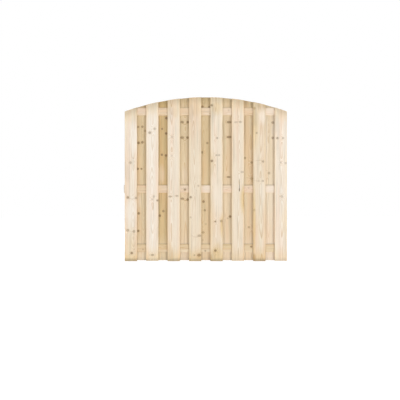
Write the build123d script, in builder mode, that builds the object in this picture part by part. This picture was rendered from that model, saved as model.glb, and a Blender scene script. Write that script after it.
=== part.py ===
from build123d import *
from math import cos, pi, radians, sqrt, tan
import os

# Arched hit-and-miss fence panel, in millimetres.
# Upright planks are screwed to both faces of three rails. The back planks stand
# behind the gaps of the front ones, and one shallow arch is sawn along the top
# of the whole panel, through both layers of planks and the ends of the top rail.
# X runs along the panel, Y from its front to its back, and Z up. The origin is on
# the ground line, at the middle of the panel's length and thickness.

# Planks
plank_width = 135.0
plank_thickness = 15.0
plank_edge_radius = 3.0  # on the outer face; the edges against the rails stay square
plank_gap = 100.0
front_plank_count = 8

# Outline: height at the crown, drop of the arch to the sides, feet above ground
crown_height = 1800.0
arch_rise = 157.0
back_foot_lift = 9.0
short_foot_lift = 4.0
short_front_planks = (2, 6, 8)

# Rails
rail_height = 85.0
rail_thickness = 15.0
rail_edge_radius = 2.0
bottom_rail_centre = 143.0
middle_rail_centre = 792.0
top_rail_end_height = 43.0  # wood that the arch leaves at the ends of the top rail
middle_rail_overhang = 9.0  # its left end stands proud of the end plank

# Countersunk wood screws, all driven from the back of the panel.
# They repeat at every crossing, so they and their holes are drawn six-sided.
screw_diameter = 4.0
screw_head_diameter = 8.0
screw_head_angle = 90.0
screw_sides = 6
screw_clearance = 0.1
screw_tip_cover = 5.0  # wood left in front of a screw's tip
screw_stagger = 30.0  # height between the two screws of a crossing
screw_edge_distance = 22.5  # from a back plank's long edge
screw_gap_distance = 18.0  # from the back planks that stand either side
screw_arch_distance = 18.0  # below the sawn arch, at least

# Sizes that follow from those above
plank_pitch = plank_width + plank_gap
panel_width = front_plank_count * plank_pitch - plank_gap
panel_depth = rail_thickness + 2 * plank_thickness
side_height = crown_height - arch_rise
arch_radius = ((panel_width / 2) ** 2 + arch_rise**2) / (2 * arch_rise)
arch_centre_z = crown_height - arch_radius
top_rail_centre = side_height - top_rail_end_height + rail_height / 2
front_layer_y = -(rail_thickness + plank_thickness) / 2
back_layer_y = (rail_thickness + plank_thickness) / 2
rail_back_y = rail_thickness / 2
panel_back_y = panel_depth / 2
front_screw_spread = plank_gap - 2 * screw_gap_distance
back_screw_spread = plank_width - 2 * screw_edge_distance
screw_length = rail_thickness + plank_thickness - screw_tip_cover
screw_head_step = (screw_head_diameter - screw_diameter) / 2 * cos(pi / screw_sides)
screw_head_depth = screw_head_step / tan(radians(screw_head_angle / 2))

# Rail name: height of its centre, and how far its left end stands proud
rails = {
    "bottom": (bottom_rail_centre, 0.0),
    "middle": (middle_rail_centre, middle_rail_overhang),
    "top": (top_rail_centre, 0.0),
}
rail_heights = [centre_z for centre_z, overhang in rails.values()]

# Centre lines of the two layers of planks
front_centres = [
    (index - (front_plank_count - 1) / 2) * plank_pitch
    for index in range(front_plank_count)
]
back_centres = [centre + plank_pitch / 2 for centre in front_centres[:-1]]


def arch_height(x):
    """Height of the sawn arch above the ground at a place along the panel."""
    return arch_centre_z + sqrt(arch_radius**2 - x**2)


def screw_points(centres, spread, heights):
    """Two screws for each crossing of a plank and a rail: the outer one low, the inner one high."""
    points = []
    for centre_x in centres:
        outward = -1 if centre_x <= 0 else 1
        for rail_z in heights:
            for side in (outward, -outward):
                x = centre_x + side * spread / 2
                z = rail_z - side * outward * screw_stagger / 2
                points.append((x, min(z, arch_height(x) - screw_arch_distance)))
    return points


def drive_screws(points, head_y, clearance, mode):
    """Add screws to the part being built, or cut their holes with a clearance."""
    back_face = Plane.XZ.offset(-head_y)
    with BuildSketch(back_face) as heads:
        with Locations(*points):
            RegularPolygon(screw_head_diameter / 2 + clearance, screw_sides)
    extrude(heads.sketch, amount=screw_head_depth, taper=screw_head_angle / 2, mode=mode)
    with BuildSketch(back_face.offset(screw_head_depth)) as shanks:
        with Locations(*points):
            RegularPolygon(screw_diameter / 2 + clearance, screw_sides)
    extrude(shanks.sketch, amount=screw_length - screw_head_depth + clearance, mode=mode)


def saw_arch():
    """Keep what lies under the arch of the part being built."""
    with BuildSketch(Plane.XZ) as under_arch:
        with Locations((0, arch_centre_z)):
            Circle(arch_radius)
    extrude(under_arch.sketch, amount=panel_depth, both=True, mode=Mode.INTERSECT)


def write(piece, name):
    """Label a finished piece and write it to its own file."""
    piece.part.label = name
    export_step(piece.part, f"parts/{name}.step")


def make_plank(name, centre_x, layer_y, foot_z, head_y, spread):
    """One upright plank with a rounded outer face, an arched top and screw holes."""
    outer_side = 0 if layer_y < 0 else -1
    with BuildPart() as plank:
        with BuildSketch(Plane.XY.offset(foot_z)) as section:
            with Locations((centre_x, layer_y)):
                Rectangle(plank_width, plank_thickness)
            fillet(section.vertices().group_by(Axis.Y)[outer_side], plank_edge_radius)
        extrude(amount=crown_height - foot_z)
        saw_arch()
        points = screw_points([centre_x], spread, rail_heights)
        drive_screws(points, head_y, screw_clearance, Mode.SUBTRACT)
    write(plank, name)


def make_rail(name, centre_z, overhang):
    """One rail between the layers, drilled for the screws of both of them."""
    with BuildPart() as rail:
        with BuildSketch(Plane.YZ.offset(-panel_width / 2 - overhang)):
            with Locations((0, centre_z)):
                RectangleRounded(rail_thickness, rail_height, rail_edge_radius)
        extrude(amount=panel_width + overhang)
        saw_arch()
        front_points = screw_points(front_centres, front_screw_spread, [centre_z])
        drive_screws(front_points, rail_back_y, screw_clearance, Mode.SUBTRACT)
        back_points = screw_points(back_centres, back_screw_spread, [centre_z])
        drive_screws(back_points, panel_back_y, screw_clearance, Mode.SUBTRACT)
    write(rail, name)


def make_screws(name, points, head_y):
    """The like screws of one layer and one rail, as separate solids."""
    with BuildPart() as screws:
        drive_screws(points, head_y, 0, Mode.ADD)
    write(screws, name)


os.makedirs("parts", exist_ok=True)

for number, centre_x in enumerate(front_centres, start=1):
    foot_z = short_foot_lift if number in short_front_planks else 0.0
    make_plank(
        f"front_plank_{number}",
        centre_x,
        front_layer_y,
        foot_z,
        rail_back_y,
        front_screw_spread,
    )

for number, centre_x in enumerate(back_centres, start=1):
    make_plank(
        f"back_plank_{number}",
        centre_x,
        back_layer_y,
        back_foot_lift,
        panel_back_y,
        back_screw_spread,
    )

for name, (centre_z, overhang) in rails.items():
    make_rail(f"{name}_rail", centre_z, overhang)
    front_points = screw_points(front_centres, front_screw_spread, [centre_z])
    make_screws(f"{name}_rail_front_plank_screws", front_points, rail_back_y)
    back_points = screw_points(back_centres, back_screw_spread, [centre_z])
    make_screws(f"{name}_rail_back_plank_screws", back_points, panel_back_y)
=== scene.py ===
"""Dresses the arched fence panel: planed softwood boards, rails, screws and a plain white studio."""

import random
from math import cos, exp, pi, radians, sin, sqrt

import bmesh
import bpy
import numpy as np
from bpy.props import FloatProperty, FloatVectorProperty, PointerProperty
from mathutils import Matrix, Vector


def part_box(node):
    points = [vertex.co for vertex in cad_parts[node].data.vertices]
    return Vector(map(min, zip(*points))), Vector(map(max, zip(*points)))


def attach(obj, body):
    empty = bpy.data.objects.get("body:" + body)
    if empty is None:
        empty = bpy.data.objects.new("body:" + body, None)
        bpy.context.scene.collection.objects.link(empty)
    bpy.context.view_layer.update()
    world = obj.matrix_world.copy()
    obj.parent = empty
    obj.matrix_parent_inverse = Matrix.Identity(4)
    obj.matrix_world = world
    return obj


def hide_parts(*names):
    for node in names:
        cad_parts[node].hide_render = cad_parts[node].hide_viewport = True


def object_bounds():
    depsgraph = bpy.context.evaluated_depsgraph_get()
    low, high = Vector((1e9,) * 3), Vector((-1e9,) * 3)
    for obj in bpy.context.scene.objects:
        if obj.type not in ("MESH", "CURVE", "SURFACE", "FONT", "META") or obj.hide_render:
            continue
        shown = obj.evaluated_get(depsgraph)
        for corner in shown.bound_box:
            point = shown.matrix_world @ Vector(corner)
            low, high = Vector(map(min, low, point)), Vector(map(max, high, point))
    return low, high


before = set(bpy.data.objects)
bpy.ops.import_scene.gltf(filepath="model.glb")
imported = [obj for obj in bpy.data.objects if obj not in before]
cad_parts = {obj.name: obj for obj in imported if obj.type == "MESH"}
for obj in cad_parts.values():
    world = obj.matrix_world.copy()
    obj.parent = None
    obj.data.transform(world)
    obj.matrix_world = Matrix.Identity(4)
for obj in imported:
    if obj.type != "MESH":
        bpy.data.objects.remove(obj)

bl_info = {
    "name": "Arched Fence Panel",
    "version": (1, 0, 0),
    "blender": (4, 5, 0),
    "location": "View3D > Sidebar > Fence Panel",
    "description": "Dresses an arched hit-and-miss fence panel in planed softwood",
    "category": "Object",
}

MM = 0.001
CAD_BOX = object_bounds()
RAILS = ("bottom", "middle", "top")
LAYERS = ("front", "back")

# Points along the grain in the mesh of a board, and the angle in degrees from which edges stay sharp
PLANK_STATIONS = 90
RAIL_STATIONS = 120
SHARP_ANGLE = 32.0

# How fine each pattern is: features a metre across the board, through it and along it
RAGGED_EDGE = (120.0, 120.0, 90.0)
MARK_EDGE = (160.0, 160.0, 14.0)
PITH_WANDER = (0.5, 0.5, 1.3)
RING_WARP = (45.0, 45.0, 5.0)
FIBRE = (420.0, 420.0, 14.0)
STREAK = (60.0, 60.0, 2.2)
BROAD_STREAK = (14.0, 14.0, 1.0)
STEEL_CLOUD = (900.0, 900.0, 900.0)

# How far noise pushes the edges of knots and marks in and out, as a share of their size
RAGGED = 0.7

# Colours that multiply the wood or the steel
ROSY_STREAK = (1.0, 0.935, 0.90, 1.0)
GREY_STREAK = (0.85, 0.845, 0.83, 1.0)
DEEP_FIBRE = (0.87, 0.81, 0.73, 1.0)
CREAM_EDGE = (1.03, 1.0, 0.93, 1.0)
GOLDEN_PATCH = (0.93, 0.83, 0.61, 1.0)
KNOT_RIM = (0.55, 0.50, 0.45, 1.0)
# Grey for greyed wood and for painted shade
GREYED_AND_SHADED = (0.56, 0.57, 0.58, 1.0)
SAWN_END = (0.84, 0.74, 0.60, 1.0)
DULL_STEEL = (0.72, 0.70, 0.66, 1.0)
WHITE = (1.0, 1.0, 1.0, 1.0)

# Kinds of the node groups' sockets that aren't plain numbers
SOCKET_KINDS = {
    "Board": "Vector",
    "Pith": "Vector",
    "Color": "Color",
    "Early Wood": "Color",
    "Late Wood": "Color",
    "Knot Wood": "Color",
    "Stain Colour": "Color",
    "Faded Wood": "Color",
}

# Soft lamps in metres: their places, the point that they all look at, and their width
KEY_PLACE = (7.9, -9.1, 0.6)
FILL_PLACE = (-6.1, -10.4, 0.6)
BACK_PLACE = (-4.2, 11.4, 0.6)
LAMP_TARGET = (0.0, 0.0, 0.9)
LAMP_WIDTH = 4.2

# Knots of each board in millimetres: across from its centre line, height, radius and strength,
# then how much wider than high where one isn't round. On a rail, here and in the tables below,
# across is the height above its centre line, and height is the place along the panel.
KNOTS = {
    "front_plank_1": [(-4, 1081, 13, 0.45), (-33, 699, 13, 0.75), (58, 694, 12, 0.55),
                      (-35, 339, 14, 0.55), (34, 327, 14, 0.55), (9, 89, 13, 0.95)],
    "front_plank_2": [(-28, 1409, 13, 0.65), (26, 1453, 12, 0.40), (18, 709, 12, 0.35),
                      (0, 678, 10, 0.30), (56, 666, 10, 0.75), (3, 68, 10, 0.55, 1.8)],
    "front_plank_3": [(-19, 1363, 12, 0.25), (-41, 709, 9, 0.50, 1.7), (36, 716, 9, 0.45, 1.7),
                      (-22, 1157, 12, 0.20)],
    "front_plank_4": [(-49, 701, 12, 0.70), (36, 827, 10, 0.35), (48, 280, 12, 0.50, 1.6),
                      (44, 66, 14, 0.90, 1.4), (-50, 480, 10, 0.30), (-8, 66, 9, 0.50)],
    "front_plank_5": [(-53, 1710, 12, 0.80), (7, 1351, 10, 0.55), (0, 1163, 10, 0.45),
                      (27, 1163, 10, 0.40), (-52, 1100, 13, 0.85), (-13, 435, 9, 0.80),
                      (52, 440, 13, 0.55), (-13, 116, 12, 1.00)],
    "front_plank_6": [(26, 1527, 10, 0.40, 1.6), (-20, 1524, 10, 0.25, 1.8), (45, 978, 10, 0.35, 1.7)],
    "front_plank_7": [(-29, 1407, 10, 0.50), (41, 1094, 12, 0.55), (39, 880, 10, 0.40),
                      (-10, 880, 10, 0.20), (-56, 560, 12, 0.30)],
    "front_plank_8": [(-37, 1350, 12, 0.70), (23, 1350, 12, 0.40), (0, 1083, 10, 0.35),
                      (54, 1076, 12, 0.35), (14, 710, 12, 0.35)],
    "back_plank_1": [(-39, 1474, 12, 0.70), (7, 1477, 12, 0.70), (36, 1432, 12, 0.45),
                     (-35, 1300, 14, 1.00), (7, 1306, 13, 0.95), (-44, 1014, 12, 1.00),
                     (-3, 1014, 10, 0.95), (-33, 524, 13, 0.90), (-37, 331, 12, 1.00)],
    "back_plank_2": [(35, 1571, 13, 1.00), (-11, 1453, 10, 0.90), (33, 1403, 13, 1.00),
                     (-13, 1169, 12, 0.95), (31, 1161, 13, 1.00), (3, 549, 13, 0.70),
                     (-36, 499, 13, 1.00)],
    "back_plank_3": [(-25, 1527, 13, 0.85, 1.3), (35, 1527, 13, 0.95), (-25, 1357, 13, 0.80, 1.5),
                     (33, 1357, 13, 0.95), (-24, 686, 12, 0.75, 1.4), (35, 676, 13, 0.90)],
    "back_plank_4": [(-38, 1697, 13, 0.90), (36, 1689, 13, 0.85), (17, 1298, 12, 0.70),
                     (-42, 1195, 13, 0.70), (-25, 654, 13, 0.95), (-11, 558, 12, 0.70),
                     (0, 406, 10, 0.30), (-29, 315, 12, 0.45, 1.3), (-36, 230, 10, 0.25)],
    "back_plank_5": [(20, 1527, 12, 0.90, 2.0), (20, 1363, 12, 0.90, 2.0), (15, 924, 10, 0.85, 2.0),
                     (32, 489, 13, 1.00), (5, 470, 9, 0.35)],
    "back_plank_6": [(-39, 1133, 12, 0.60), (34, 1084, 12, 0.70), (34, 906, 14, 0.30),
                     (4, 371, 12, 0.50)],
    "back_plank_7": [(31, 1523, 13, 0.65), (31, 1354, 13, 0.65), (-10, 967, 13, 0.45)],
    "bottom_rail": [(16, 499, 10, 0.95), (-14, -690, 9, 0.40), (-30, -6, 10, 0.55)],
    "middle_rail": [(-7, -229, 12, 0.80), (12, 470, 9, 0.20)],
    "top_rail": [(-9, -410, 9, 0.35), (14, 250, 9, 0.25)],
}

# Thin lines of branch wood in millimetres: across and height of both ends, sag, half width and strength
BRANCHES = {
    "front_plank_1": [(-33, 699, 58, 694, -14, 7, 0.22), (-35, 339, 34, 327, -6, 9, 0.16)],
    "front_plank_3": [(-55, 708, 44, 716, 2, 5, 0.28)],
    "front_plank_4": [(-40, 286, 48, 280, -18, 8, 0.26), (-12, 800, 22, 772, -6, 6, 0.18)],
    "front_plank_6": [(-44, 1524, 36, 1530, 3, 8, 0.20)],
    "front_plank_7": [(-46, 1100, 41, 1094, 8, 5, 0.32), (-40, 1062, 40, 1030, 12, 4, 0.14),
                      (-62, 884, 39, 880, -3, 6, 0.22)],
    "back_plank_1": [(-35, 1300, 7, 1306, -14, 8, 0.32)],
    "back_plank_3": [(-25, 1527, 35, 1527, -24, 8, 0.48), (-25, 1357, 33, 1357, -30, 8, 0.42),
                     (-24, 686, 35, 676, -14, 8, 0.60)],
    "back_plank_6": [(-30, 916, 40, 900, 6, 8, 0.20)],
}

# Brown marks in millimetres: across, height, half width, half length and strength
STAINS = {
    "front_plank_4": [(40, 60, 30, 50, 0.26)],
    "front_plank_5": [(60, 420, 10, 60, 0.30), (-64, 30, 16, 70, 0.40)],
    "front_plank_6": [(62, 672, 12, 110, 0.46)],
    "front_plank_7": [(-60, 40, 30, 66, 0.65), (-54, 1678, 24, 26, 0.60)],
    "back_plank_2": [(26, 1136, 10, 36, 0.45)],
    "back_plank_6": [(38, 900, 14, 60, 0.40)],
    "bottom_rail": [(10, -420, 30, 60, 0.25)],
}

# Dark splits along the grain, in the same terms
SPLITS = {
    "front_plank_6": [(17, 862, 3, 58, 0.70), (17, 818, 4, 44, 0.80), (16, 784, 6, 25, 0.95)],
}

# Bleached patches, in the same terms
FADES = {
    "front_plank_1": [(0, 545, 90, 170, 0.60), (40, 1340, 70, 230, 0.75)],
    "front_plank_5": [(38, 680, 50, 220, 0.35)],
    "front_plank_7": [(36, 760, 50, 200, 0.40), (34, 1590, 56, 130, 0.60)],
    "front_plank_8": [(50, 1400, 46, 300, 0.60)],
    "back_plank_1": [(-36, 660, 40, 110, 0.25)],
    "back_plank_2": [(-20, 950, 56, 140, 0.24)],
    "back_plank_3": [(0, 950, 44, 140, 0.20)],
    "back_plank_7": [(42, 1430, 34, 240, 0.36), (-44, 1270, 32, 480, 0.40)],
    "bottom_rail": [(-38, 0, 34, 980, 0.35)],
    "middle_rail": [(0, -905, 80, 40, 0.95), (0, 15, 80, 70, 0.35), (0, 705, 80, 110, 0.55)],
    "top_rail": [(0, 705, 80, 110, 0.40)],
}

# Greyed patches, in the same terms. Those on the back planks are painted shade, mostly down their left
# sides beside the front planks' edges
GREYS = {
    "front_plank_1": [(-44, 970, 44, 140, 0.16)],
    "front_plank_3": [(-40, 1640, 60, 140, 0.24), (-50, 30, 50, 150, 0.22)],
    "front_plank_4": [(-44, 1650, 60, 150, 0.22)],
    "front_plank_5": [(-50, 20, 56, 130, 0.28), (-46, 1640, 70, 160, 0.28), (-58, 1040, 40, 170, 0.18)],
    "front_plank_7": [(-52, 1590, 46, 200, 0.36)],
    "front_plank_8": [(-60, 1520, 30, 190, 0.40), (58, 1440, 36, 330, 0.22)],
    "back_plank_2": [(-46, 1300, 30, 420, 0.34), (-46, 560, 30, 240, 0.32), (-44, 1715, 30, 50, 0.40)],
    "back_plank_3": [(-44, 1735, 34, 60, 0.40)],
    "back_plank_4": [(-16, 1745, 60, 60, 0.34)],
    "back_plank_5": [(-46, 1430, 32, 200, 0.34)],
}

# Golden patches, in the same terms
TANS = {
    "front_plank_1": [(0, 130, 100, 290, 0.50)],
    "front_plank_3": [(20, 1640, 50, 110, 0.45), (-44, 90, 50, 190, 0.55)],
    "front_plank_4": [(30, 60, 70, 110, 0.50), (10, 1690, 80, 140, 0.45)],
    "front_plank_5": [(0, 60, 90, 190, 1.00), (56, 385, 30, 170, 0.90), (0, 1690, 90, 120, 0.70),
                      (-52, 420, 50, 420, 0.35), (-52, 1070, 50, 190, 0.40)],
    "front_plank_6": [(54, 675, 44, 210, 1.00)],
    "front_plank_7": [(-62, 430, 36, 560, 0.90), (-56, 1480, 56, 380, 0.70)],
    "front_plank_8": [(44, 440, 50, 240, 0.30)],
    "back_plank_2": [(0, 1450, 90, 260, 0.30)],
    "back_plank_3": [(34, 1735, 40, 60, 0.40)],
    "back_plank_4": [(0, 1500, 90, 300, 0.25), (0, 40, 90, 90, 0.55)],
    "back_plank_5": [(0, 40, 90, 90, 0.30)],
    "back_plank_6": [(0, 40, 90, 90, 0.55), (42, 1520, 34, 200, 0.40)],
    "bottom_rail": [(0, -470, 80, 110, 0.30), (0, 235, 80, 110, 0.30)],
    "middle_rail": [(0, -760, 70, 520, 0.50)],
    "top_rail": [(0, -260, 70, 480, 0.45), (0, 470, 80, 110, 0.40)],
}

# Bark edges in millimetres: side (1 for right), height, half length and depth
WANES = {
    "front_plank_5": [(1, 1335, 40, 4.5), (1, 1500, 70, 2.5), (1, 420, 60, 4.0)],
    "front_plank_6": [(1, 680, 90, 5.0)],
    "back_plank_2": [(1, 1480, 80, 3.0)],
}

# How golden and how much darker the sawn feet of the front planks are
FEET = {
    "front_plank_1": (1.00, 1.00),
    "front_plank_2": (0.75, 0.55),
    "front_plank_3": (0.80, 0.95),
    "front_plank_4": (0.90, 0.80),
    "front_plank_5": (1.00, 0.95),
    "front_plank_6": (0.45, 0.35),
    "front_plank_7": (0.80, 1.00),
    "front_plank_8": (0.50, 0.40),
}
BACK_FOOT = (0.0, 0.30)

# How far the wood is from pale towards golden, or towards rosy for the rosy boards
TONES = {
    "front_plank_1": 0.10, "front_plank_2": 0.0, "front_plank_3": 0.15, "front_plank_4": 0.30,
    "front_plank_5": 0.20, "front_plank_6": 0.22, "front_plank_7": 0.32, "front_plank_8": 0.05,
    "back_plank_1": 0.70, "back_plank_2": 0.95, "back_plank_3": 0.60, "back_plank_4": 0.75,
    "back_plank_5": 0.55, "back_plank_6": 0.60, "back_plank_7": 0.35,
    "bottom_rail": 0.68, "middle_rail": 0.70, "top_rail": 0.72,
}
ROSY = ("middle_rail", "top_rail")


class FenceBoards(bpy.types.PropertyGroup):
    """Sizes of the boards that the frame's boxes don't give."""

    arch_rise: FloatProperty(
        name="Arch Rise",
        description="Drop of the sawn arch from the crown to the panel's sides",
        default=0.157,
        unit="LENGTH",
    )
    plank_edge: FloatProperty(
        name="Plank Edge",
        description="Radius planed on the long edges of a plank's outer face",
        default=0.003,
        unit="LENGTH",
    )
    rail_edge: FloatProperty(
        name="Rail Edge",
        description="Radius planed on the long edges of a rail",
        default=0.002,
        unit="LENGTH",
    )
    sawn_edge: FloatProperty(
        name="Sawn Edge",
        description="Wear of the sharp edges that the saw left",
        default=0.0007,
        unit="LENGTH",
    )
    edge_wave: FloatProperty(
        name="Edge Wave",
        description="How far a long edge wanders from a straight line",
        default=0.0006,
        unit="LENGTH",
    )


class FenceWood(bpy.types.PropertyGroup):
    """Colours of the softwood."""

    pale: FloatVectorProperty(
        name="Pale Wood",
        description="Early wood of the palest boards",
        default=(0.930, 0.850, 0.745),
        subtype="COLOR",
    )
    golden: FloatVectorProperty(
        name="Golden Wood",
        description="Early wood of the most golden boards",
        default=(0.670, 0.515, 0.270),
        subtype="COLOR",
    )
    rosy: FloatVectorProperty(
        name="Rosy Wood",
        description="Early wood of the upper rails",
        default=(0.770, 0.615, 0.460),
        subtype="COLOR",
    )
    late: FloatVectorProperty(
        name="Late Wood",
        description="Dark lines of the year rings",
        default=(0.640, 0.450, 0.240),
        subtype="COLOR",
    )
    knot: FloatVectorProperty(
        name="Knot",
        description="Heart of a knot",
        default=(0.225, 0.138, 0.066),
        subtype="COLOR",
    )
    stain: FloatVectorProperty(
        name="Stain",
        description="Brown bark and resin marks",
        default=(0.440, 0.270, 0.105),
        subtype="COLOR",
    )


class FenceScrews(bpy.types.PropertyGroup):
    """Sizes and colour of the countersunk screws."""

    head: FloatProperty(
        name="Head Diameter",
        description="Width of the countersunk head",
        default=0.008,
        unit="LENGTH",
    )
    shank: FloatProperty(
        name="Shank Diameter",
        description="Width of the shank",
        default=0.004,
        unit="LENGTH",
    )
    recess: FloatProperty(
        name="Recess Depth",
        description="Depth of the star recess in the head",
        default=0.0014,
        unit="LENGTH",
    )
    steel: FloatVectorProperty(
        name="Steel",
        description="Colour of the steel",
        default=(0.33, 0.325, 0.31),
        subtype="COLOR",
    )


class FenceStudio(bpy.types.PropertyGroup):
    """Camera, light and floor."""

    picture_width: FloatProperty(
        name="Picture Width",
        description="Width that the picture takes in at the panel's front",
        default=4.388,
        unit="LENGTH",
    )
    camera_distance: FloatProperty(
        name="Camera Distance",
        description="From the camera to the panel's front",
        default=12.0,
        unit="LENGTH",
    )
    camera_aside: FloatProperty(
        name="Camera Aside",
        description="Place of the picture's centre along the panel",
        default=-0.064,
        unit="LENGTH",
    )
    camera_height: FloatProperty(
        name="Camera Height",
        description="Height of the picture's centre above the ground",
        default=0.671,
        unit="LENGTH",
    )
    key_power: FloatProperty(
        name="Key Power",
        description="Power of the soft lamp at the right",
        default=935.0,
        unit="POWER",
    )
    fill_power: FloatProperty(
        name="Fill Power",
        description="Power of the soft lamp at the left",
        default=595.0,
        unit="POWER",
    )
    back_power: FloatProperty(
        name="Back Power",
        description="Power of the soft lamp behind the panel",
        default=1150.0,
        unit="POWER",
    )
    sky_strength: FloatProperty(
        name="Sky Strength",
        description="Level of the even light from all round",
        default=0.42,
    )
    floor: FloatVectorProperty(
        name="Floor",
        description="Colour of the plain floor",
        default=(0.92, 0.92, 0.92),
        subtype="COLOR",
    )


class Graph:
    """Short ways to add nodes to one node tree."""

    def __init__(self, tree):
        self.tree = tree

    def feed(self, socket, value):
        """Link a socket, or set it to a plain value."""
        if isinstance(value, bpy.types.NodeSocket):
            self.tree.links.new(value, socket)
        else:
            socket.default_value = value

    def node(self, kind, inputs=None, **settings):
        """Add a node, with its settings and the values of its inputs."""
        node = self.tree.nodes.new(kind)
        for key, value in settings.items():
            setattr(node, key, value)
        for key, value in (inputs or {}).items():
            self.feed(node.inputs[key], value)
        return node

    def math(self, operation, *values):
        """One step of arithmetic."""
        node = self.node("ShaderNodeMath", operation=operation)
        for socket, value in zip(node.inputs, values):
            self.feed(socket, value)
        return node.outputs[0]

    def vector(self, operation, *values, output=0):
        """One step of arithmetic on vectors."""
        node = self.node("ShaderNodeVectorMath", operation=operation)
        for socket, value in zip(node.inputs, values):
            self.feed(socket, value)
        return node.outputs[output]

    def ramp(self, value, low, high, start=0.0, end=1.0):
        """A smooth step from start to end as the value goes from low to high."""
        node = self.node("ShaderNodeMapRange", interpolation_type="SMOOTHSTEP")
        for socket, number in zip(node.inputs, (value, low, high, start, end)):
            self.feed(socket, number)
        return node.outputs[0]

    def noise(self, place, fineness, detail=2.0, roughness=0.5, output=0):
        """Soft noise, with its number of features a metre along each axis."""
        vector = self.vector("MULTIPLY", place, fineness)
        inputs = {"Vector": vector, "Scale": 1.0, "Detail": detail, "Roughness": roughness}
        return self.node("ShaderNodeTexNoise", inputs).outputs[output]

    def mix(self, factor, first, second, blend="MIX"):
        """Mix two colours, through the node's sockets for colours."""
        node = self.node("ShaderNodeMix", data_type="RGBA", blend_type=blend)
        for index, value in zip((0, 6, 7), (factor, first, second)):
            self.feed(node.inputs[index], value)
        return node.outputs[2]

    def tint(self, mask, color, multiplier):
        """Multiply a colour where the mask is set."""
        return self.mix(mask, color, self.mix(1.0, color, multiplier, "MULTIPLY"))

    def split(self, vector):
        """The X, Y and Z of a vector."""
        return self.node("ShaderNodeSeparateXYZ", {"Vector": vector}).outputs

    def join(self, x, y, z):
        """A vector from X, Y and Z."""
        return self.node("ShaderNodeCombineXYZ", {"X": x, "Y": y, "Z": z}).outputs[0]

    def group(self, tree, inputs):
        """Place a node group with its own values."""
        node = self.tree.nodes.new("ShaderNodeGroup")
        node.node_tree = tree
        for key, value in inputs.items():
            self.feed(node.inputs[key], value)
        return node.outputs


def new_group(name, inputs, outputs):
    """An empty node group with named sockets, as a graph, its inputs and its outputs."""
    tree = bpy.data.node_groups.new(name, "ShaderNodeTree")
    for way, labels in (("INPUT", inputs), ("OUTPUT", outputs)):
        for label in labels:
            kind = SOCKET_KINDS.get(label, "Float")
            tree.interface.new_socket(label, in_out=way, socket_type=f"NodeSocket{kind}")
    entry = tree.nodes.new("NodeGroupInput")
    leave = tree.nodes.new("NodeGroupOutput")
    return Graph(tree), entry.outputs, leave.inputs


def new_material(name):
    """A new material, with its graph and its shader."""
    material = bpy.data.materials.new(name)
    material.use_nodes = True
    return material, Graph(material.node_tree), material.node_tree.nodes["Principled BSDF"]


def new_object(name, data):
    """A new object in the scene."""
    item = bpy.data.objects.new(name, data)
    bpy.context.scene.collection.objects.link(item)
    return item


def from_centre(graph, given):
    """Distance from the centre of a knot or mark, in its own half widths and half heights."""
    x, _, z = graph.split(given["Board"])
    side = graph.math("DIVIDE", graph.math("SUBTRACT", x, given["Across"]), given["Half Width"])
    rise = graph.math("DIVIDE", graph.math("SUBTRACT", z, given["Height"]), given["Half Height"])
    return graph.vector("LENGTH", graph.join(side, rise, 0.0), output=1)


def knot_group():
    """Adds one knot to a board: its heart, its rim, its halo and how it swells the rings."""
    ring_turns = 24.0
    ring_depth = 0.14
    pith_depth = 0.7
    swell_fall = 0.42
    marks = ("Heart", "Rim", "Halo", "Swell")
    graph, given, result = new_group(
        "Knot",
        ("Board", "Across", "Height", "Half Width", "Half Height", "Strength", "Ragged", *marks),
        marks,
    )
    distance = from_centre(graph, given)
    near = graph.math("ADD", distance, given["Ragged"])

    # The masks are ramps over the distance from the knot's centre, in radii of the knot
    heart = graph.ramp(near, 1.10, 0.72)
    rings = graph.math("COSINE", graph.math("MULTIPLY", near, ring_turns))
    rings = graph.math("MULTIPLY_ADD", rings, ring_depth, 1.0 - ring_depth)
    heart = graph.math("MULTIPLY", heart, rings)
    rim = graph.math("MULTIPLY", graph.ramp(near, 0.62, 0.90), graph.ramp(near, 1.20, 0.98))
    rim = graph.math("MAXIMUM", rim, graph.ramp(near, 0.26, 0.02, 0.0, pith_depth))
    halo = graph.ramp(near, 2.6, 0.8)
    for label, mask in (("Heart", heart), ("Rim", rim), ("Halo", halo)):
        mark = graph.math("MULTIPLY", mask, given["Strength"])
        graph.feed(result[label], graph.math("MAXIMUM", mark, given[label]))

    # The rings swell round the knot in a bell-shaped bump
    fall = graph.math("POWER", graph.math("MULTIPLY", distance, swell_fall), 2.0)
    bump = graph.math("EXPONENT", graph.math("MULTIPLY", fall, -1.0))
    size = graph.math("MINIMUM", given["Half Width"], given["Half Height"])
    graph.feed(result["Swell"], graph.math("MULTIPLY_ADD", bump, size, given["Swell"]))
    return graph.tree


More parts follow.
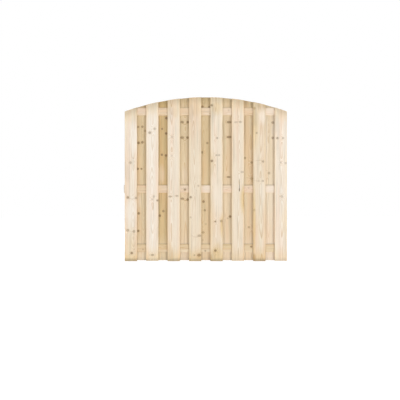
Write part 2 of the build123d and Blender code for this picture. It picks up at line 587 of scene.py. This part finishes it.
def branch_group():
    """Adds one thin line of branch wood that hangs between two places on a board."""
    graph, given, result = new_group(
        "Branch",
        (
            "Board", "From Across", "From Height", "To Across", "To Height", "Sag", "Half Width",
            "Strength", "Ragged", "Stain",
        ),
        ("Stain",),
    )
    x, _, z = graph.split(given["Board"])
    reach = graph.math("SUBTRACT", given["To Across"], given["From Across"])
    share = graph.math("DIVIDE", graph.math("SUBTRACT", x, given["From Across"]), reach)
    climb = graph.math("SUBTRACT", given["To Height"], given["From Height"])
    line = graph.math("MULTIPLY_ADD", share, climb, given["From Height"])
    hang = graph.math("MULTIPLY", share, graph.math("SUBTRACT", 1.0, share))
    line = graph.math("MULTIPLY_ADD", graph.math("MULTIPLY", hang, 4.0), given["Sag"], line)
    off = graph.math("ABSOLUTE", graph.math("SUBTRACT", z, line))
    off = graph.math("DIVIDE", off, given["Half Width"])

    # The line is soft on both sides and fades out past both of its ends
    mark = graph.ramp(graph.math("ADD", off, given["Ragged"]), 1.0, 0.2)
    mark = graph.math("MULTIPLY", mark, graph.ramp(share, -0.05, 0.12))
    mark = graph.math("MULTIPLY", mark, graph.ramp(share, 1.05, 0.88))
    mark = graph.math("MULTIPLY", mark, given["Strength"])
    graph.feed(result["Stain"], graph.math("MAXIMUM", mark, given["Stain"]))
    return graph.tree


def stain_group():
    """Adds one long ragged mark to a board."""
    graph, given, result = new_group(
        "Stain",
        ("Board", "Across", "Height", "Half Width", "Half Height", "Core", "Strength", "Stain"),
        ("Stain",),
    )
    edge = graph.noise(given["Board"], MARK_EDGE, detail=3.0)
    distance = graph.math("SUBTRACT", from_centre(graph, given), RAGGED / 2)
    distance = graph.math("MULTIPLY_ADD", edge, RAGGED, distance)
    mark = graph.math("MULTIPLY", graph.ramp(distance, 1.0, given["Core"]), given["Strength"])
    graph.feed(result["Stain"], graph.math("MAXIMUM", mark, given["Stain"]))
    return graph.tree


def softwood_group():
    """Planed softwood: year rings about a pith, fibres, streaks, knots, marks and end grain."""
    wander_reach = 50 * MM
    warp_reach = 3 * MM
    swell_share = 1.1
    year_spread = 0.7
    late_share = 0.62
    halo_share = 0.40
    heart_share = 0.85
    rim_share = 0.45
    graph, given, result = new_group(
        "Softwood",
        (
            "Board", "Seed", "Pith", "Ring Width", "Half Width", "Heart", "Rim", "Halo", "Swell",
            "Stain", "Split", "Tan", "Fade", "Grey And Shade", "End Grain", "Early Wood", "Late Wood",
            "Knot Wood", "Stain Colour", "Faded Wood",
        ),
        ("Color", "Roughness", "Height"),
    )

    # The seed moves each board to a part of the noise of its own
    board, seed = given["Board"], given["Seed"]
    shift = graph.join(graph.math("MULTIPLY", seed, 1.7), graph.math("MULTIPLY", seed, 0.9), seed)
    place = graph.vector("ADD", board, shift)

    # Year rings about a pith that wanders along the trunk
    wander = graph.noise(place, PITH_WANDER, detail=1.0, output=1)
    wander = graph.vector("SUBTRACT", wander, (0.5, 0.5, 0.5))
    wander = graph.vector("MULTIPLY", wander, (wander_reach, wander_reach, 0.0))
    from_pith = graph.vector("SUBTRACT", graph.vector("SUBTRACT", board, given["Pith"]), wander)
    from_pith = graph.vector("MULTIPLY", from_pith, (1.0, 1.0, 0.0))
    radius = graph.vector("LENGTH", from_pith, output=1)
    radius = graph.math("MULTIPLY_ADD", graph.noise(place, RING_WARP), warp_reach, radius)
    radius = graph.math("MULTIPLY_ADD", given["Swell"], swell_share, radius)
    rings = graph.math("DIVIDE", radius, given["Ring Width"])

    # Each year's late wood darkens slowly and ends sharply, and some years are darker than others
    phase = graph.math("FRACT", rings)
    late = graph.math("MULTIPLY", graph.ramp(phase, 0.30, 0.90), graph.ramp(phase, 1.0, 0.92))
    year = graph.math("FLOOR", rings)
    year = graph.node("ShaderNodeTexWhiteNoise", {"W": year}, noise_dimensions="1D").outputs[0]
    year = graph.math("MULTIPLY_ADD", year, year_spread, 1.0 - year_spread)
    late = graph.math("MULTIPLY", late, year)
    color = graph.mix(graph.math("MULTIPLY", late, late_share), given["Early Wood"], given["Late Wood"])

    # Broad and narrow streaks and fibres along the grain
    fibre = graph.noise(place, FIBRE, detail=3.0)
    streak = graph.noise(place, STREAK, detail=3.0)
    broad = graph.noise(place, BROAD_STREAK)
    color = graph.tint(graph.ramp(broad, 0.42, 0.68), color, ROSY_STREAK)
    color = graph.tint(graph.ramp(streak, 0.50, 0.72), color, GREY_STREAK)
    color = graph.tint(graph.ramp(fibre, 0.55, 0.80), color, DEEP_FIBRE)

    # The sapwood of the two edges is creamier than the heart side between them
    aside = graph.math("DIVIDE", graph.math("ABSOLUTE", graph.split(board)[0]), given["Half Width"])
    color = graph.tint(graph.ramp(aside, 0.55, 0.95), color, CREAM_EDGE)

    # Golden and faded patches
    color = graph.tint(given["Tan"], color, GOLDEN_PATCH)
    color = graph.mix(given["Fade"], color, given["Faded Wood"])

    # Knots: a gold halo, a brown heart and a dark rim
    heart, rim = given["Heart"], given["Rim"]
    dark = graph.mix(1.0, given["Knot Wood"], KNOT_RIM, "MULTIPLY")
    color = graph.mix(graph.math("MULTIPLY", given["Halo"], halo_share), color, given["Late Wood"])
    color = graph.mix(graph.math("MULTIPLY", heart, heart_share), color, given["Knot Wood"])
    color = graph.mix(graph.math("MULTIPLY", rim, rim_share), color, dark)

    # Brown marks, splits, greying and painted shade, and end grain that drinks in more dirt
    color = graph.mix(given["Stain"], color, given["Stain Colour"])
    color = graph.mix(given["Split"], color, dark)
    color = graph.tint(given["Grey And Shade"], color, GREYED_AND_SHADED)
    color = graph.tint(given["End Grain"], color, SAWN_END)

    # Knots are smoother than fibres and stand out with the late wood, and rims and splits lie low
    rough = graph.math("MULTIPLY_ADD", fibre, 0.16, 0.54)
    rough = graph.math("MULTIPLY_ADD", heart, -0.14, rough)
    height = graph.math("MULTIPLY_ADD", late, 0.35, graph.math("MULTIPLY", fibre, 0.55))
    height = graph.math("MULTIPLY_ADD", heart, 0.8, height)
    height = graph.math("MULTIPLY_ADD", rim, -1.0, height)
    height = graph.math("MULTIPLY_ADD", given["Split"], -3.0, height)
    graph.feed(result["Color"], color)
    graph.feed(result["Roughness"], rough)
    graph.feed(result["Height"], height)
    return graph.tree


def shared_group(name, make):
    """A node group that is built once."""
    return bpy.data.node_groups.get(name) or make()


def blend_colour(first, second, share):
    """A plain mix of two colours, with alpha for a socket."""
    return tuple(a + (b - a) * share for a, b in zip(first, second)) + (1.0,)


def half_width_of(node, grain):
    """Half of a board's width across the grain."""
    low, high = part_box(node)
    return (high.x - low.x) / 2 if grain == "Z" else (high.z - low.z) / 2


def arch_radius():
    """Radius of the arch sawn along the top."""
    rise = bpy.context.scene.fence_boards.arch_rise
    return (CAD_BOX[1].x ** 2 + rise**2) / (2.0 * rise)


def weathered(graph, place, ragged, node):
    """Tan, fading and darkening of a plank at its foot and its sawn arch, with painted shade at the arch
    and along the tops of the rails.
    """
    tan_reach = 190 * MM
    foot_reach = 46 * MM
    arch_reach = 100 * MM
    rail_shade_reach = 16 * MM
    tan_ragged = 0.3 * tan_reach
    dark_ragged = 0.4
    arch_tan = 0.60
    rail_shade = 0.50
    centre = (0.0, 0.0, CAD_BOX[1].z - arch_radius())
    flat = graph.vector("MULTIPLY", graph.vector("SUBTRACT", place, centre), (1.0, 0.0, 1.0))
    below_arch = graph.math("SUBTRACT", arch_radius(), graph.vector("LENGTH", flat, output=1))
    _, depth, height = graph.split(place)
    above_foot = graph.math("SUBTRACT", height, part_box(node)[0].z)

    # The back planks are more golden and darker towards the top, and paler towards the foot
    if node in FEET:
        tan, fade, darkening, arch_shade = 0.0, 0.0, 0.0, 0.42
    else:
        tan = graph.ramp(height, 550 * MM, 1150 * MM, 0.0, 0.25)
        darkening = graph.ramp(height, 850 * MM, 1550 * MM, 0.0, 0.16)
        fade = graph.ramp(above_foot, 320 * MM, 80 * MM, 0.0, 0.26)
        arch_shade = 0.55

    # Both sawn ends are tanned; the arch gets painted shade, and the foot is darker
    foot_tan, foot_dark = FEET.get(node, BACK_FOOT)
    ends = (
        (below_arch, arch_tan, arch_shade, arch_reach),
        (above_foot, foot_tan, foot_dark, foot_reach),
    )
    for inside, most_tan, most_dark, dark_reach in ends:
        tanned = graph.math("MULTIPLY_ADD", ragged, tan_ragged, inside)
        tan = graph.math("MAXIMUM", tan, graph.ramp(tanned, tan_reach, 0.0, 0.0, most_tan))
        darkened = graph.math("MULTIPLY_ADD", ragged, dark_ragged * dark_reach, inside)
        darkening = graph.math("MAXIMUM", darkening, graph.ramp(darkened, dark_reach, 0.0, 0.0, most_dark))

    # Painted shade along the rails' tops, on the faces that look inwards
    inner_face_shade = graph.ramp(graph.math("ABSOLUTE", depth), 14 * MM, 9 * MM, 0.0, rail_shade)
    for name in RAILS:
        above_rail = graph.math("SUBTRACT", height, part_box(f"{name}_rail")[1].z)
        near_rail = graph.ramp(graph.math("ABSOLUTE", above_rail), rail_shade_reach, 0.0)
        darkening = graph.math("MAXIMUM", darkening, graph.math("MULTIPLY", near_rail, inner_face_shade))
    return tan, fade, darkening


def in_metres(labels, sizes):
    """Sizes in millimetres as metres, for the sockets with these labels."""
    return {label: size * MM for label, size in zip(labels, sizes)}


def marked(graph, board, marks, mask, core=0.25):
    """Add long marks to a mask, each at its full strength out to its core."""
    for *sizes, strength in marks:
        inputs = in_metres(("Across", "Height", "Half Width", "Half Height"), sizes)
        inputs |= {"Board": board, "Core": core, "Strength": strength, "Stain": mask}
        mask = graph.group(shared_group("Stain", stain_group), inputs)["Stain"]
    return mask


def branched(graph, board, ragged, lines, mask):
    """Add thin lines of branch wood to a mask."""
    labels = ("From Across", "From Height", "To Across", "To Height", "Sag", "Half Width")
    for *sizes, strength in lines:
        inputs = in_metres(labels, sizes)
        inputs |= {"Board": board, "Strength": strength, "Ragged": ragged, "Stain": mask}
        mask = graph.group(shared_group("Branch", branch_group), inputs)["Stain"]
    return mask


def knotted(graph, board, ragged, knots):
    """The hearts, rims and halos of a board's knots, and how they swell its rings."""
    labels = ("Across", "Height", "Half Width", "Half Height")
    marks = {"Heart": 0.0, "Rim": 0.0, "Halo": 0.0, "Swell": 0.0}
    for across, height, radius, strength, *wider in knots:
        half_width = radius * (wider[0] if wider else 1.0)
        inputs = in_metres(labels, (across, height, half_width, radius))
        inputs |= {"Board": board, "Strength": strength, "Ragged": ragged, **marks}
        after = graph.group(shared_group("Knot", knot_group), inputs)
        marks = {label: after[label] for label in marks}
    return marks


def wood_material(node, centre, grain):
    """The wood of one board: its own rings, knots and marks. The grain runs along Z or X."""
    pith_aside = 30 * MM
    pith_depths = (35 * MM, 80 * MM)
    ring_widths = (3.2 * MM, 5.2 * MM)
    relief = 0.5 * MM
    rail_top_reach = 12 * MM
    rail_top_shade = 0.40
    split_core = 0.6
    wood = bpy.context.scene.fence_wood
    deep = wood.rosy if node in ROSY else wood.golden
    upright = grain == "Z"
    draw = random.Random(node)
    material, graph, shader = new_material(f"softwood_{node}")
    place = graph.node("ShaderNodeTexCoord").outputs["Object"]
    board = graph.vector("SUBTRACT", place, tuple(centre))
    x, y, z = graph.split(board)
    if not upright:
        board = graph.join(z, y, x)
    facing = graph.split(graph.node("ShaderNodeNewGeometry").outputs["Normal"])
    end = graph.math("ABSOLUTE", facing[2 if upright else 0])
    ragged = graph.noise(place, RAGGED_EDGE, detail=5.0, roughness=0.62)
    ragged = graph.math("MULTIPLY_ADD", ragged, RAGGED, -RAGGED / 2)
    half_width = half_width_of(node, grain)
    if upright:
        tan, fade, darkening = weathered(graph, place, ragged, node)
    else:
        # The rails get painted shade along their top edges
        below_top = graph.math("SUBTRACT", half_width, z)
        tan, fade = 0.0, 0.0
        darkening = graph.ramp(below_top, rail_top_reach, 0.0, 0.0, rail_top_shade)
    stain = marked(graph, board, STAINS.get(node, ()), 0.0)
    side = draw.choice((-1, 1))
    inputs = {
        "Board": board,
        "Seed": draw.uniform(1.0, 60.0),
        "Pith": (draw.uniform(-pith_aside, pith_aside), side * draw.uniform(*pith_depths), 0.0),
        "Ring Width": draw.uniform(*ring_widths),
        "Half Width": half_width,
        **knotted(graph, board, ragged, KNOTS[node]),
        "Stain": branched(graph, board, ragged, BRANCHES.get(node, ()), stain),
        "Split": marked(graph, board, SPLITS.get(node, ()), 0.0, split_core),
        "Tan": marked(graph, board, TANS.get(node, ()), tan),
        "Fade": marked(graph, board, FADES.get(node, ()), fade),
        "Grey And Shade": marked(graph, board, GREYS.get(node, ()), darkening),
        "End Grain": graph.ramp(end, 0.75, 0.95, 0.0, 1.0 if upright else 0.4),
        "Early Wood": blend_colour(wood.pale, deep, TONES[node]),
        "Late Wood": tuple(wood.late) + (1.0,),
        "Knot Wood": tuple(wood.knot) + (1.0,),
        "Stain Colour": tuple(wood.stain) + (1.0,),
        "Faded Wood": tuple(wood.pale) + (1.0,),
    }
    finish = graph.group(shared_group("Softwood", softwood_group), inputs)
    bump = {"Strength": 0.5, "Distance": relief, "Height": finish["Height"]}
    bump = graph.node("ShaderNodeBump", bump)
    graph.feed(shader.inputs["Base Color"], finish["Color"])
    graph.feed(shader.inputs["Roughness"], finish["Roughness"])
    graph.feed(shader.inputs["Normal"], bump.outputs["Normal"])
    shader.inputs["Specular IOR Level"].default_value = 0.25
    return material


def steel_material():
    """Plain screw steel, dulled in fine clouds."""
    material, graph, shader = new_material("screw_steel")
    place = graph.node("ShaderNodeTexCoord").outputs["Object"]
    cloud = graph.noise(place, STEEL_CLOUD, detail=3.0)
    steel = tuple(bpy.context.scene.fence_screws.steel) + (1.0,)
    graph.feed(shader.inputs["Base Color"], graph.tint(graph.ramp(cloud, 0.4, 0.7), steel, DULL_STEEL))
    graph.feed(shader.inputs["Roughness"], graph.math("MULTIPLY_ADD", cloud, 0.25, 0.38))
    shader.inputs["Metallic"].default_value = 1.0
    return material


def skin(name, outer, inner):
    """A closed board from two grids of points: stations along the grain by columns across it."""
    rows, columns, _ = outer.shape

    def outside(row, column):
        return row * columns + column

    def inside(row, column):
        return (rows + row) * columns + column

    faces = []
    for r in range(rows - 1):
        for c in range(columns - 1):
            for at in (outside, inside):
                faces.append((at(r, c), at(r, c + 1), at(r + 1, c + 1), at(r + 1, c)))
        for c in (0, columns - 1):
            faces.append((outside(r, c), outside(r + 1, c), inside(r + 1, c), inside(r, c)))
    for r in (0, rows - 1):
        for c in range(columns - 1):
            faces.append((outside(r, c), outside(r, c + 1), inside(r, c + 1), inside(r, c)))
    mesh = bpy.data.meshes.new(name)
    points = np.concatenate([outer.reshape(-1, 3), inner.reshape(-1, 3)])
    mesh.from_pydata(points.tolist(), [], faces)
    return settle(name, mesh)


def settle(name, mesh):
    """Turn the faces outwards, smooth what is round and put the piece in the scene."""
    shape = bmesh.new()
    shape.from_mesh(mesh)
    bmesh.ops.recalc_face_normals(shape, faces=shape.faces)
    shape.to_mesh(mesh)
    shape.free()
    mesh.polygons.foreach_set("use_smooth", [True] * len(mesh.polygons))
    mesh.set_sharp_from_angle(angle=radians(SHARP_ANGLE))
    return new_object(name, mesh)


def dress(piece, node, material):
    """Give a piece its wood or steel, and put it in the place of its solid."""
    piece.data.materials.append(material)
    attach(piece, "root")
    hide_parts(node)


def arch_height(x):
    """Height of the sawn arch at a place along the panel."""
    return CAD_BOX[1].z - arch_radius() + sqrt(arch_radius() ** 2 - x**2)


def section(width, edge, fill=10, turns=5):
    """Columns across a board: place from its centre line, and how far its edge is rounded off there."""
    angles = [pi / 2 * step / (turns - 1) for step in range(turns)]
    left = [(-width / 2 + edge * (1 - cos(a)), edge * (1 - sin(a))) for a in angles]
    flat = [(-width / 2 + edge + (width - 2 * edge) * step / fill, 0.0) for step in range(1, fill)]
    right = [(-across, drop) for across, drop in reversed(left)]
    return left + flat + right


def wave(draw, reach, lengths=(0.9, 0.37, 0.16)):
    """A gentle wander along a board, as a function of the place along it."""
    terms = []
    for number, length in enumerate(lengths, start=1):
        top = reach * draw.uniform(0.4, 1.0) / number
        terms.append((top, draw.uniform(0, 2 * pi), length))
    return lambda place: sum(top * sin(2 * pi * place / length + start) for top, start, length in terms)


def stations(count, length, sawn):
    """Shares of a board's length, with one more just inside each sawn end."""
    inner = sawn / length
    middle = [inner + (1 - 2 * inner) * step / count for step in range(count + 1)]
    return [0.0] + middle + [1.0]


def barked(node, across, z, width):
    """How far a plank's bark edges take a point aside and inwards."""
    reach = 16 * MM
    steepness = 2.0
    aside, inwards = 0.0, 0.0
    for side, height, half_length, depth in WANES.get(node, ()):
        near_edge = max(0.0, 1 - (width / 2 - side * across) / reach)
        bump = exp(-(((z - height * MM) / (half_length * MM)) ** 2) * steepness)
        aside -= side * depth * MM * bump * near_edge
        inwards += depth * MM * bump * near_edge**2
    return aside, inwards


def plank(node, outward):
    """One upright plank: wandering edges, bark edges, an arched top and worn sawn ends."""
    most_cup = 0.4
    sizes = bpy.context.scene.fence_boards
    low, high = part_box(node)
    centre = (low.x + high.x) / 2
    width = high.x - low.x
    outer_y = high.y if outward > 0 else low.y
    inner_y = low.y if outward > 0 else high.y
    draw = random.Random(node + "_shape")
    edges = (wave(draw, sizes.edge_wave), wave(draw, sizes.edge_wave))
    cup = draw.uniform(-most_cup, most_cup) * MM
    columns = section(width, sizes.plank_edge)
    outer, inner = [], []
    for share in stations(PLANK_STATIONS, high.z - low.z, sizes.sawn_edge):
        worn = sizes.sawn_edge if share in (0.0, 1.0) else 0.0
        outer_row, inner_row = [], []
        for index, (across, drop) in enumerate(columns):
            z = low.z + (arch_height(centre + across) - low.z) * share
            part = across / width + 0.5
            bow = (2 * across / width) ** 2
            aside, inwards = barked(node, across, z, width)
            x = across * (1 - 2 * worn / width) + aside
            x -= abs(edges[0](z)) * (part - 1) + abs(edges[1](z)) * part
            drop += worn + max(0.0, cup * (1 - bow)) - min(0.0, cup) * bow + inwards
            eased = max(worn, sizes.sawn_edge if index in (0, len(columns) - 1) else 0.0)
            outer_row.append((centre + x, outer_y - outward * drop, z))
            inner_row.append((centre + x, inner_y + outward * eased, z))
        outer.append(outer_row)
        inner.append(inner_row)
    piece = skin(f"board_{node}", np.array(outer), np.array(inner))
    middle = Vector((centre, (outer_y + inner_y) / 2, 0.0))
    return piece, wood_material(node, middle, "Z")


def rail(node):
    """One rail: rounded edges, and the arch sawn off the ends of the top one."""
    sizes = bpy.context.scene.fence_boards
    low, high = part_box(node)
    height = high.z - low.z
    draw = random.Random(node + "_shape")
    edges = (wave(draw, sizes.edge_wave), wave(draw, sizes.edge_wave))
    columns = section(height, sizes.rail_edge)
    outer, inner = [], []
    for share in stations(RAIL_STATIONS, high.x - low.x, sizes.sawn_edge):
        worn = sizes.sawn_edge if share in (0.0, 1.0) else 0.0
        x = low.x + (high.x - low.x) * share
        top = min(high.z, arch_height(min(abs(x), CAD_BOX[1].x)))
        outer_row, inner_row = [], []
        for across, drop in columns:
            part = across / height + 0.5
            z = low.z + (top - low.z) * part
            z += abs(edges[0](x)) * (1 - part) - abs(edges[1](x)) * part
            drop = max(drop, worn)
            outer_row.append((x, low.y + drop, z))
            inner_row.append((x, high.y - drop, z))
        outer.append(outer_row)
        inner.append(inner_row)
    piece = skin(f"board_{node}", np.array(outer), np.array(inner))
    middle = Vector((0.0, 0.0, (low.z + high.z) / 2))
    return piece, wood_material(node, middle, "X")


def screw_places(node):
    """Centres of the screw heads of one group, from the flat faces of their solids."""
    level = 0.1 * MM
    reach = 1.2 * bpy.context.scene.fence_screws.head
    points = [v.co.copy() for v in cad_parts[node].data.vertices]
    face = max(p.y for p in points)
    heads = []
    for point in (p for p in points if face - p.y < level):
        for head in heads:
            if (head[0] - point).length < reach:
                head.append(point)
                break
        else:
            heads.append([point])
    return [(Vector(map(max, *head)) + Vector(map(min, *head))) / 2 for head in heads]


def screw_profile(angle, turn, length):
    """Radius and rise of a screw's rings at one angle: its recess, the face of its head, its shank."""
    lobes = 6
    star_middle = 0.40
    star_wave = 0.075
    star_floor = 0.85
    dome = 0.62
    shoulder = 0.92
    tip_start = 0.82
    proud = 0.15 * MM
    lip = 0.02 * MM
    rim = 0.2 * MM
    sizes = bpy.context.scene.fence_screws
    head, shank = sizes.head / 2, sizes.shank / 2
    star = head * (star_middle + star_wave * cos(lobes * (angle + turn)))
    return (
        (star * star_floor, -sizes.recess),
        (star, lip),
        (head * dome, proud),
        (head * shoulder, proud * 0.6),
        (head, -rim),
        (shank, -(head - shank)),
        (shank, -length * tip_start),
    )


def screws(node):
    """The screws of one group: a countersunk head with a star recess, and a plain shank."""
    sectors = 24
    sizes = bpy.context.scene.fence_screws
    low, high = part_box(node)
    length = high.y - low.y
    draw = random.Random(node)
    shape = bmesh.new()
    for place in screw_places(node):
        turn = draw.uniform(0.0, pi / 3)
        columns = []
        for sector in range(sectors):
            angle = 2 * pi * sector / sectors
            column = []
            for reach, rise in screw_profile(angle, turn, length):
                offset = Vector((reach * cos(angle), rise, reach * sin(angle)))
                column.append(shape.verts.new(place + offset))
            columns.append(column)
        hub = shape.verts.new(place + Vector((0.0, -sizes.recess, 0.0)))
        tip = shape.verts.new(place + Vector((0.0, -length, 0.0)))
        for here, after in zip(columns, columns[1:] + columns[:1]):
            shape.faces.new((hub, here[0], after[0]))
            shape.faces.new((tip, after[-1], here[-1]))
            for ring in range(len(here) - 1):
                shape.faces.new((here[ring], here[ring + 1], after[ring + 1], after[ring]))
    mesh = bpy.data.meshes.new(f"steel_{node}")
    shape.to_mesh(mesh)
    shape.free()
    return settle(f"steel_{node}", mesh)


class FENCE_OT_front_planks(bpy.types.Operator):
    """Make the planks on the front of the rails"""

    bl_idname = "fence.front_planks"
    bl_label = "Front Planks"

    def execute(self, context):
        for node in sorted(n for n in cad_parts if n.startswith("front_plank_")):
            piece, wood = plank(node, -1)
            dress(piece, node, wood)
        return {"FINISHED"}


class FENCE_OT_back_planks(bpy.types.Operator):
    """Make the planks on the back of the rails"""

    bl_idname = "fence.back_planks"
    bl_label = "Back Planks"

    def execute(self, context):
        for node in sorted(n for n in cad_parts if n.startswith("back_plank_")):
            piece, wood = plank(node, 1)
            dress(piece, node, wood)
        return {"FINISHED"}


class FENCE_OT_rails(bpy.types.Operator):
    """Make the rails between the two layers of planks"""

    bl_idname = "fence.rails"
    bl_label = "Rails"

    def execute(self, context):
        for name in RAILS:
            node = f"{name}_rail"
            piece, wood = rail(node)
            dress(piece, node, wood)
        return {"FINISHED"}


class FENCE_OT_screws(bpy.types.Operator):
    """Make the screws that hold the planks to the rails"""

    bl_idname = "fence.screws"
    bl_label = "Screws"

    def execute(self, context):
        steel = steel_material()
        for name in RAILS:
            for layer in LAYERS:
                node = f"{name}_rail_{layer}_plank_screws"
                dress(screws(node), node, steel)
        return {"FINISHED"}


def camera_rays(graph):
    """1 for rays that see the background: from the camera, or by way of metal or glass."""
    path = graph.node("ShaderNodeLightPath").outputs
    seen = graph.math("MAXIMUM", path["Is Camera Ray"], path["Is Glossy Ray"])
    return graph.math("MAXIMUM", seen, path["Is Transmission Ray"])


def studio_world(studio):
    """Even white light from all round, and a white background."""
    world = bpy.data.worlds.new("white_studio")
    world.use_nodes = True
    graph = Graph(world.node_tree)
    background = world.node_tree.nodes["Background"]
    background.inputs["Color"].default_value = WHITE
    level = graph.ramp(camera_rays(graph), 0.0, 1.0, studio.sky_strength, 1.0)
    graph.feed(background.inputs["Strength"], level)
    bpy.context.scene.world = world


def studio_floor(studio):
    """A pale floor that is white where the light is open, and keeps the panel's shadow."""
    reach = 30.0
    glow_share = 0.55
    mesh = bpy.data.meshes.new("studio_floor")
    corners = [(-reach, -reach, 0.0), (reach, -reach, 0.0), (reach, reach, 0.0), (-reach, reach, 0.0)]
    mesh.from_pydata(corners, [], [(0, 1, 2, 3)])
    floor = new_object("studio_floor", mesh)
    material, graph, shader = new_material("studio_floor")
    shader.inputs["Base Color"].default_value = tuple(studio.floor) + (1.0,)
    shader.inputs["Roughness"].default_value = 0.9
    shader.inputs["Specular IOR Level"].default_value = 0.1

    # The glow makes up what the even light alone leaves short of white
    lit = studio.floor[0] * studio.sky_strength
    glow = (1.0 - (1.0 - glow_share) * lit) / glow_share
    white = graph.node("ShaderNodeEmission", {"Color": WHITE, "Strength": glow})
    mask = graph.math("MULTIPLY", camera_rays(graph), glow_share)
    mixed = graph.node("ShaderNodeMixShader", {0: mask, 1: shader.outputs[0], 2: white.outputs[0]})
    graph.feed(material.node_tree.nodes["Material Output"].inputs["Surface"], mixed.outputs[0])
    mesh.materials.append(material)


def studio_lamp(name, place, power):
    """A square soft lamp that looks at the middle of the panel."""
    data = bpy.data.lights.new(name, "AREA")
    data.shape = "SQUARE"
    data.size = LAMP_WIDTH
    data.energy = power
    lamp = new_object(name, data)
    lamp.location = place
    lamp.rotation_euler = (Vector(LAMP_TARGET) - Vector(place)).to_track_quat("-Z", "Y").to_euler()


def studio_camera(studio):
    """A level camera square to the panel, far enough off to keep its lines straight."""
    sensor = 36.0
    data = bpy.data.cameras.new("studio_camera")
    data.sensor_width = sensor
    data.lens = sensor * studio.camera_distance / studio.picture_width
    data.clip_end = 100.0
    camera = new_object("studio_camera", data)
    front = CAD_BOX[0].y
    camera.location = (studio.camera_aside, front - studio.camera_distance, studio.camera_height)
    camera.rotation_euler = (pi / 2, 0.0, 0.0)
    bpy.context.scene.camera = camera


class FENCE_OT_stage(bpy.types.Operator):
    """Make the floor, the light and the camera"""

    bl_idname = "fence.stage"
    bl_label = "Studio"

    def execute(self, context):
        studio = context.scene.fence_studio
        context.scene.view_settings.view_transform = "Standard"
        studio_world(studio)
        studio_floor(studio)
        studio_lamp("key_lamp", KEY_PLACE, studio.key_power)
        studio_lamp("fill_lamp", FILL_PLACE, studio.fill_power)
        studio_lamp("back_lamp", BACK_PLACE, studio.back_power)
        studio_camera(studio)
        return {"FINISHED"}


class FENCE_PT_panel(bpy.types.Panel):
    """Lists the pieces of the fence panel and their settings"""

    bl_idname = "FENCE_PT_panel"
    bl_label = "Fence Panel"
    bl_space_type = "VIEW_3D"
    bl_region_type = "UI"
    bl_category = "Fence Panel"

    def draw(self, context):
        layout = self.layout
        for step in STEPS:
            layout.operator(step.bl_idname)
        for name in SETTINGS:
            holder = getattr(context.scene, name)
            box = layout.box()
            for key in holder.__annotations__:
                box.prop(holder, key)


SETTINGS = {
    "fence_boards": FenceBoards,
    "fence_wood": FenceWood,
    "fence_screws": FenceScrews,
    "fence_studio": FenceStudio,
}
STEPS = (FENCE_OT_front_planks, FENCE_OT_back_planks, FENCE_OT_rails, FENCE_OT_screws, FENCE_OT_stage)


def register():
    """Register the settings, the operators and the panel."""
    for name, kind in SETTINGS.items():
        bpy.utils.register_class(kind)
        setattr(bpy.types.Scene, name, PointerProperty(type=kind))
    for kind in (*STEPS, FENCE_PT_panel):
        bpy.utils.register_class(kind)


def unregister():
    """Take away what register added."""
    for kind in (FENCE_PT_panel, *reversed(STEPS)):
        bpy.utils.unregister_class(kind)
    for name, kind in reversed(SETTINGS.items()):
        delattr(bpy.types.Scene, name)
        bpy.utils.unregister_class(kind)


def main():
    """Make every piece and the stage."""
    register()
    bpy.ops.fence.front_planks()
    bpy.ops.fence.back_planks()
    bpy.ops.fence.rails()
    bpy.ops.fence.screws()
    bpy.ops.fence.stage()


if __name__ == "__main__":
    main()
